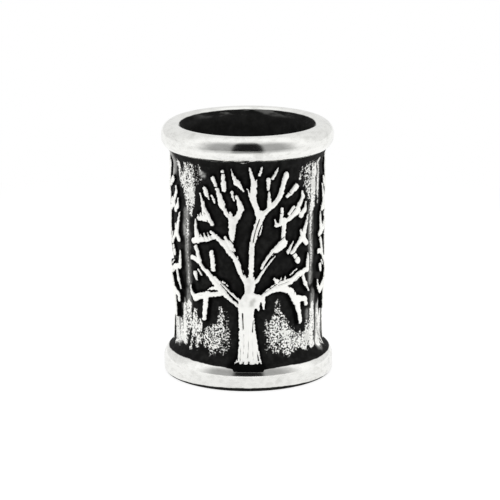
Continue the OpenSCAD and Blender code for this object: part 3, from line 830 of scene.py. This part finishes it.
class Nodes:
    """Short calls that add and join the nodes of a material or of the world."""

    def __init__(self, owner, shader="Principled BSDF"):
        owner.use_nodes = True
        self.owner = owner
        self.tree = owner.node_tree
        self.shader = self.tree.nodes[shader]

    def add(self, kind, settings=(), **inputs):
        """A node with its settings and inputs. An input has its socket's name, with _ for each space."""
        node = self.tree.nodes.new(kind)
        for key, value in dict(settings).items():
            setattr(node, key, value)
        for key, value in inputs.items():
            self.feed(node.inputs[key.replace("_", " ")], value)
        return node

    def feed(self, socket, value):
        """Joins an input to another node's output, or sets it to a number or a colour."""
        if isinstance(value, bpy.types.NodeSocket):
            self.tree.links.new(value, socket)
        elif socket.type == "RGBA":
            socket.default_value = (*value, 1)
        else:
            socket.default_value = value

    def math(self, operation, *values):
        """The result of an operation on numbers or other nodes' outputs."""
        node = self.tree.nodes.new("ShaderNodeMath")
        node.operation = operation
        for socket, value in zip(node.inputs, values):
            self.feed(socket, value)
        return node.outputs[0]

    # Sum, difference, product and greater of two numbers or outputs
    def plus(self, first, second):
        return self.math("ADD", first, second)

    def minus(self, first, second):
        return self.math("SUBTRACT", first, second)

    def times(self, first, second):
        return self.math("MULTIPLY", first, second)

    def greater(self, first, second):
        return self.math("MAXIMUM", first, second)

    def step(self, value, low, high):
        """An S-shaped step from 0 at low to 1 at high."""
        node = self.add("ShaderNodeMapRange", {"interpolation_type": "SMOOTHSTEP"},
                        Value=value, From_Min=low, From_Max=high)
        return node.outputs["Result"]

    def edge(self, value, middle, soft):
        """A step from 0 to 1 round a middle, over the soft width."""
        return self.step(value, middle - soft / 2, middle + soft / 2)

    def band(self, value, low, low_soft, high, high_soft):
        """1 between low and high, falling to 0 over a soft edge centred on each."""
        return self.minus(self.edge(value, low, low_soft), self.edge(value, high, high_soft))

    def noise(self, vector, scale, detail, rough=0.5):
        """Noise from 0 to 1, with about as many cells to a metre as its scale."""
        node = self.add("ShaderNodeTexNoise", Vector=vector, Scale=scale, Detail=detail, Roughness=rough)
        return node.outputs[0]

    def stray(self, vector, scale, detail, rough, size):
        """Noise round 0, at most half the size above it or below it."""
        return self.times(self.minus(self.noise(vector, scale, detail, rough), 0.5), size)

    def mix(self, share, first, second, kind="FLOAT"):
        """A number, or a colour where kind is RGBA, between two others."""
        node = self.add("ShaderNodeMix", {"data_type": kind})
        for socket, value in zip([s for s in node.inputs if s.enabled], (share, first, second)):
            self.feed(socket, value)
        return next(s for s in node.outputs if s.enabled)

    def place(self, kind="Object"):
        """Coordinates of the point that is shaded."""
        return self.tree.nodes.new("ShaderNodeTexCoord").outputs[kind]

    def stretched(self, vector, scale):
        """A vector with each axis scaled, so that a pattern on it is drawn out along the smaller ones."""
        return self.add("ShaderNodeMapping", Vector=vector, Scale=scale).outputs[0]

    def attribute(self, name):
        """The number that add_attribute gave each vertex."""
        return self.add("ShaderNodeAttribute", {"attribute_name": name}).outputs["Fac"]

    def radius(self, place):
        """Distance from the bead's axis, in millimetres."""
        flat = self.stretched(place, (1, 1, 0))
        length = self.add("ShaderNodeVectorMath", {"operation": "LENGTH"}, Vector=flat).outputs["Value"]
        return self.times(length, 1 / MM)

    def bump(self, height, distance):
        """Joins a bump to the shader, the distance deep where the height goes from 0 to 1."""
        node = self.add("ShaderNodeBump", Strength=1.0, Distance=distance, Height=height)
        self.tree.links.new(node.outputs["Normal"], self.shader.inputs["Normal"])


def steel_finish(nodes, finish, place, silver, steel_rough, metal, grey, depth):
    """Joins a bright share to the shader: steel where it is 1, black patina where it is 0.

    The share of metal is how mirror-like the surface is, the share of grey how tarnished the steel, and the
    share of depth how much blacker the patina is painted than on open ground, as painted shade in corners.
    """
    patina_rough, patina_gloss = 0.6, 0.03
    # dusty and sooty are the patina's random tones, deep the blacker black of the painted corner shade
    dusty, sooty, deep = ([share * part for part in finish.black] for share in (1.7, 0.7, 0.1))
    steel = nodes.mix(grey, finish.steel, finish.tarnish, "RGBA")
    dust = nodes.step(nodes.noise(place, 2200, 3, 0.6), 0.35, 0.75)
    black = nodes.mix(dust, sooty, dusty, "RGBA")
    # Painted shade in corners: the patina goes towards the deeper black where depth is 1
    black = nodes.mix(depth, black, deep, "RGBA")
    nodes.feed(nodes.shader.inputs["Base Color"], nodes.mix(silver, black, steel, "RGBA"))
    nodes.feed(nodes.shader.inputs["Metallic"], metal)
    nodes.feed(nodes.shader.inputs["Roughness"], nodes.mix(silver, patina_rough, steel_rough))
    nodes.shader.inputs["Specular IOR Level"].default_value = patina_gloss


def polish_share(nodes, place, radius):
    """Polish on the rims, which ends in ragged lines at the shoulders and in at the lips."""
    ragged = nodes.stray(place, 1800, 3, 0.5, 0.10)
    # rim_edge also ends the lower rim's polish at the painted shade on the edge the bead stands on
    rim = nodes.edge(nodes.plus(nodes.attribute("rim_edge"), ragged), 0.0, 0.04)
    lip = nodes.step(nodes.plus(radius, nodes.times(ragged, 0.5)), BORE_R_MM + 0.30, BORE_R_MM + 0.36)
    return nodes.times(rim, lip)


def ground_share(nodes, place, radius):
    """Bright grains and grey smears on the panel's ground, and the noise that the grains are cut from.

    That is a fine noise plus a slow drift, drawn out into upright streaks where the ground is rubbed. The
    more worn a place is, the more of it is bare, and the grains are dim where there are few.
    """
    wear_weight, bare_level, bare_soft = 0.42, 0.50, 0.09
    dim_grain = 0.45
    worn = nodes.attribute("worn")
    rubbed = nodes.attribute("rubbed")
    fine = nodes.noise(place, 8000, 3, 0.6)
    drawn = nodes.noise(nodes.stretched(place, (1, 1, 0.12)), 3800, 3, 0.6)
    streaks = nodes.plus(nodes.times(drawn, 0.5), nodes.times(fine, 0.5))
    level = nodes.plus(nodes.mix(rubbed, fine, streaks), nodes.stray(place, 900, 2, 0.5, 0.30))
    packed = nodes.mix(rubbed, 0.03, 0.07)
    wear = nodes.plus(nodes.times(nodes.minus(worn, 1.0), wear_weight), packed)
    bare = nodes.plus(level, wear)
    bright = nodes.mix(nodes.step(worn, 0.5, 0.9), dim_grain, 1.0)
    grains = nodes.times(nodes.edge(bare, bare_level, bare_soft), bright)
    smears = nodes.times(nodes.attribute("smear"), nodes.step(streaks, 0.28, 0.60))
    on_panel = nodes.step(radius, 5.0, 5.02)
    return nodes.times(nodes.greater(grains, smears), on_panel), nodes.times(bare, worn)


def bore_share(nodes, place, radius):
    """Steel that shows through the bore's black as a faint film, and a painted reflection: grey smears at the
    back of its mouth.
    """
    bore_film, painted_reflection_share = 0.007, 0.10
    blotch = nodes.step(nodes.noise(nodes.stretched(place, (1, 1, 3)), 420, 3, 0.6), 0.50, 0.62)
    _, behind, height = nodes.add("ShaderNodeSeparateXYZ", Vector=place).outputs
    in_mouth = nodes.step(height, BEAD_H - 0.66 * MM, BEAD_H - 0.36 * MM)
    at_back = nodes.step(behind, 2.2 * MM, 4.6 * MM)
    # Painted reflection: grey smears on the far wall of the bore's mouth
    smears = nodes.times(nodes.times(blotch, in_mouth), at_back)
    film = nodes.mix(nodes.step(radius, BORE_R_MM + 0.05, BORE_R_MM + 0.20), bore_film, 0.0)
    return nodes.greater(film, nodes.times(smears, painted_reflection_share))


def tube_material(finish):
    """Polished rims, a black bore, and a black ground with the bright grains that wear has laid bare."""
    nodes = Nodes(bpy.data.materials.new("antiqued_steel_tube"))
    place = nodes.place()
    radius = nodes.radius(place)
    polish = polish_share(nodes, place, radius)
    ground, relief = ground_share(nodes, place, radius)
    film = bore_share(nodes, place, radius)
    silver = nodes.greater(nodes.greater(polish, ground), film)

    scratch = nodes.times(nodes.noise(nodes.stretched(place, (0.06, 0.06, 1)), 9000, 2), 0.10)
    rough = nodes.mix(polish, 0.5, nodes.plus(finish.rim_rough - 0.05, scratch))
    metal = nodes.mix(nodes.step(polish, 0.0, 0.1), nodes.times(silver, 0.5), 1.0)
    cloud = nodes.times(nodes.step(nodes.noise(place, 900, 3), 0.52, 0.80), 0.7)
    rub = nodes.noise(nodes.stretched(place, (1, 1, 2.5)), 1500, 4, 0.6)
    rub = nodes.times(nodes.step(rub, 0.40, 0.75), 0.45)
    # Painted corner shade: the patina is drawn blacker beside the strokes
    depth = nodes.attribute("corner")
    steel_finish(nodes, finish, place, silver, rough, metal, nodes.greater(cloud, rub), depth)
    nodes.bump(nodes.plus(relief, scratch), 0.02 * MM)
    return nodes.owner


def tree_material(finish, sizes):
    """Bright hammered tops, and black on the walls below them and in the slits, painted blacker as shade."""
    nodes = Nodes(bpy.data.materials.new("antiqued_steel_tree"))
    place = nodes.place()
    radius = nodes.radius(place)
    top = sizes.tree_top_d / 2 / MM
    ragged = nodes.stray(place, 4200, 3, 0.6, 0.06)
    silver = nodes.step(nodes.plus(radius, ragged), top - 0.12, top - 0.075)
    hammer = nodes.noise(nodes.stretched(place, (1, 1, 0.4)), 3800, 3)
    rough = nodes.plus(finish.tree_rough - 0.08, nodes.times(hammer, 0.16))
    grey = nodes.times(nodes.attribute("facet"), nodes.step(nodes.noise(place, 2600, 3), 0.30, 0.60))
    metal = nodes.times(silver, 0.45)
    # All of the tree's black is drawn at the full painted corner shade, on its walls and in its slits
    steel_finish(nodes, finish, place, silver, rough, metal, grey, CORNER_SHADE_DEPTH)
    nodes.bump(hammer, 0.012 * MM)
    return nodes.owner


class BEAD_OT_tube(bpy.types.Operator):
    """Make the turned tube with its rims, bore and worn ground"""

    bl_idname = "bead.make_tube"
    bl_label = "Make tube"

    def execute(self, context):
        scene = context.scene
        obj = make_tube(scene.bead_sizes)
        obj.data.materials.append(tube_material(scene.bead_finish))
        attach(obj, "root")
        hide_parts("bead")
        return {"FINISHED"}


class BEAD_OT_trees(bpy.types.Operator):
    """Make the raised trees round the tube"""

    bl_idname = "bead.make_trees"
    bl_label = "Make trees"

    def execute(self, context):
        scene = context.scene
        material = tree_material(scene.bead_finish, scene.bead_sizes)
        for i, turn in enumerate(tree_turns(scene.bead_sizes)):
            obj = make_tree(scene.bead_sizes, f"tree_{i + 1}", turn)
            obj.data.materials.append(material)
            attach(obj, "root")
            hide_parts("bead")
        return {"FINISHED"}


def front_shades(nodes, azimuth, camera_share, wall_share):
    """Share of the light left in each direction by the dark camera in front and by the dim wall round it.

    Each leaves 1 less the product of its depth, its reach round the bead and the share of it that is seen.
    """
    light = 1.0
    for (side, soft, depth), share in ((DARK_CAMERA, camera_share), (DIM_WALL, wall_share)):
        reach = nodes.minus(1.0, nodes.edge(azimuth, side, soft))
        light = nodes.times(light, nodes.minus(1.0, nodes.times(nodes.times(reach, share), depth)))
    return light


def azimuth_from_front(nodes, direction):
    """Angle in degrees between the front and a direction seen from above, on either side, and its z part."""
    x, y, z = nodes.add("ShaderNodeSeparateXYZ", Vector=direction).outputs
    azimuth = nodes.math("ARCTAN2", x, nodes.times(y, -1.0))
    return nodes.times(nodes.math("ABSOLUTE", azimuth), np.degrees(1)), z


def seen_by(nodes, by_camera, by_mirror, by_rough):
    """One strength for the camera, one for reflections in polished steel, and one for matt surfaces."""
    path = nodes.tree.nodes.new("ShaderNodeLightPath").outputs
    strength = nodes.mix(path["Is Diffuse Ray"], by_mirror, by_rough)
    return nodes.mix(path["Is Camera Ray"], strength, by_camera)


def make_floor():
    """A wide pale floor that is partly lit from inside, as a light table is, so that its shadows are faint.

    Its glow in the polished steel rises with the distance from the bead in millimetres, and far out the dark
    camera and the dim wall shade it.
    """
    half = 3.0
    mesh = bpy.data.meshes.new("floor")
    corners = [(-half, -half, 0), (half, -half, 0), (half, half, 0), (-half, half, 0)]
    mesh.from_pydata(corners, [], [(0, 1, 2, 3)])
    floor = bpy.data.objects.new("floor", mesh)
    bpy.context.scene.collection.objects.link(floor)
    nodes = Nodes(bpy.data.materials.new("pale_floor"))
    nodes.shader.inputs["Roughness"].default_value = 1.0
    nodes.shader.inputs["Specular IOR Level"].default_value = 0.0
    nodes.shader.inputs["Emission Color"].default_value = (1, 1, 1, 1)
    place = nodes.place()
    away = nodes.radius(place)
    azimuth, _ = azimuth_from_front(nodes, place)
    near = nodes.mix(nodes.step(azimuth, 15, 70), 0.66, 0.72)
    glow = nodes.mix(nodes.step(away, 9, 24), near, 0.74)
    far = nodes.step(away, 35, 60)
    glow = nodes.mix(far, glow, 0.93)
    shaded = nodes.step(away, 55, 110)
    glow = nodes.times(glow, front_shades(nodes, azimuth, shaded, shaded))
    strength = seen_by(nodes, nodes.mix(far, 0.85, 1.0), glow, 0.90)
    nodes.feed(nodes.shader.inputs["Base Color"], nodes.mix(far, (0.2, 0.2, 0.2), (0, 0, 0), "RGBA"))
    nodes.feed(nodes.shader.inputs["Emission Strength"], strength)
    mesh.materials.append(nodes.owner)


def make_world():
    """A white room that the camera sees evenly lit, with a dark camera and dim walls mirrored in the steel.

    The steel mirrors the dark camera in front, the dim wall on both sides of it, and a pale grey wall at the
    back. Each is a window of azimuth from the front and of elevation, in degrees with soft edges.
    """
    back_depth, rough_light = 0.20, 1.26
    world = bpy.data.worlds.new("white_room")
    bpy.context.scene.world = world
    nodes = Nodes(world, "Background")
    azimuth, height = azimuth_from_front(nodes, nodes.place("Generated"))
    elevation = nodes.times(nodes.math("ARCSINE", height), np.degrees(1))
    camera_window = nodes.band(elevation, -20, 6, 68, 44)
    wall_window = nodes.band(elevation, -17, 16, 60, 50)
    light = front_shades(nodes, azimuth, camera_window, wall_window)
    back = nodes.times(nodes.edge(azimuth, 100, 44), nodes.band(elevation, -14, 10, 56, 36))
    light = nodes.times(light, nodes.minus(1.0, nodes.times(back, back_depth)))
    nodes.feed(nodes.shader.inputs["Strength"], seen_by(nodes, 1.0, light, rough_light))
    nodes.shader.inputs["Color"].default_value = (1, 1, 1, 1)


def make_camera():
    """A long lens from the front, a little above, aimed close to the bead's middle and tilted a little."""
    elevation = np.radians(14.7)
    tilt = np.radians(0.22)
    distance = 190 * MM
    aim_right, aim_down = 0.147 * MM, 0.33 * MM
    middle = Vector((0, 0, BEAD_H / 2))
    back = Vector((0, -np.cos(elevation), np.sin(elevation)))
    level_up = Vector((0, np.sin(elevation), np.cos(elevation)))
    level_right = Vector((1, 0, 0))
    up = level_up * np.cos(tilt) + level_right * np.sin(tilt)
    right = level_right * np.cos(tilt) - level_up * np.sin(tilt)
    aim = middle + level_right * aim_right - level_up * aim_down
    data = bpy.data.cameras.new("photo_camera")
    data.lens = 195.4
    data.sensor_width = 36
    data.clip_start = 0.01
    camera = bpy.data.objects.new("photo_camera", data)
    turn = Matrix((right, up, back)).transposed().to_4x4()
    camera.matrix_world = Matrix.Translation(aim + back * distance) @ turn
    bpy.context.scene.collection.objects.link(camera)
    bpy.context.scene.camera = camera


class BEAD_OT_stage(bpy.types.Operator):
    """Make the floor, the light and the camera of the photograph"""

    bl_idname = "bead.make_stage"
    bl_label = "Make stage"

    def execute(self, context):
        make_floor()
        make_world()
        make_camera()
        context.scene.view_settings.view_transform = "Standard"
        return {"FINISHED"}


class BEAD_PT_panel(bpy.types.Panel):
    """Sizes, finish and steps of the bead"""

    bl_idname = "BEAD_PT_panel"
    bl_label = "Beard bead"
    bl_space_type = "VIEW_3D"
    bl_region_type = "UI"
    bl_category = "Bead"

    def draw(self, context):
        layout = self.layout
        for group in (context.scene.bead_sizes, context.scene.bead_finish):
            box = layout.box()
            for name in group.__annotations__:
                box.prop(group, name)
        for operator in (BEAD_OT_tube, BEAD_OT_trees, BEAD_OT_stage):
            layout.operator(operator.bl_idname)


CLASSES = (BeadSizes, BeadFinish, BEAD_OT_tube, BEAD_OT_trees, BEAD_OT_stage, BEAD_PT_panel)


def register():
    for cls in CLASSES:
        bpy.utils.register_class(cls)
    bpy.types.Scene.bead_sizes = PointerProperty(type=BeadSizes)
    bpy.types.Scene.bead_finish = PointerProperty(type=BeadFinish)


def unregister():
    del bpy.types.Scene.bead_finish
    del bpy.types.Scene.bead_sizes
    for cls in reversed(CLASSES):
        bpy.utils.unregister_class(cls)


def main():
    """Registers the parts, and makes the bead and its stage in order."""
    register()
    bpy.ops.bead.make_tube()
    bpy.ops.bead.make_trees()
    bpy.ops.bead.make_stage()


if __name__ == "__main__":
    main()
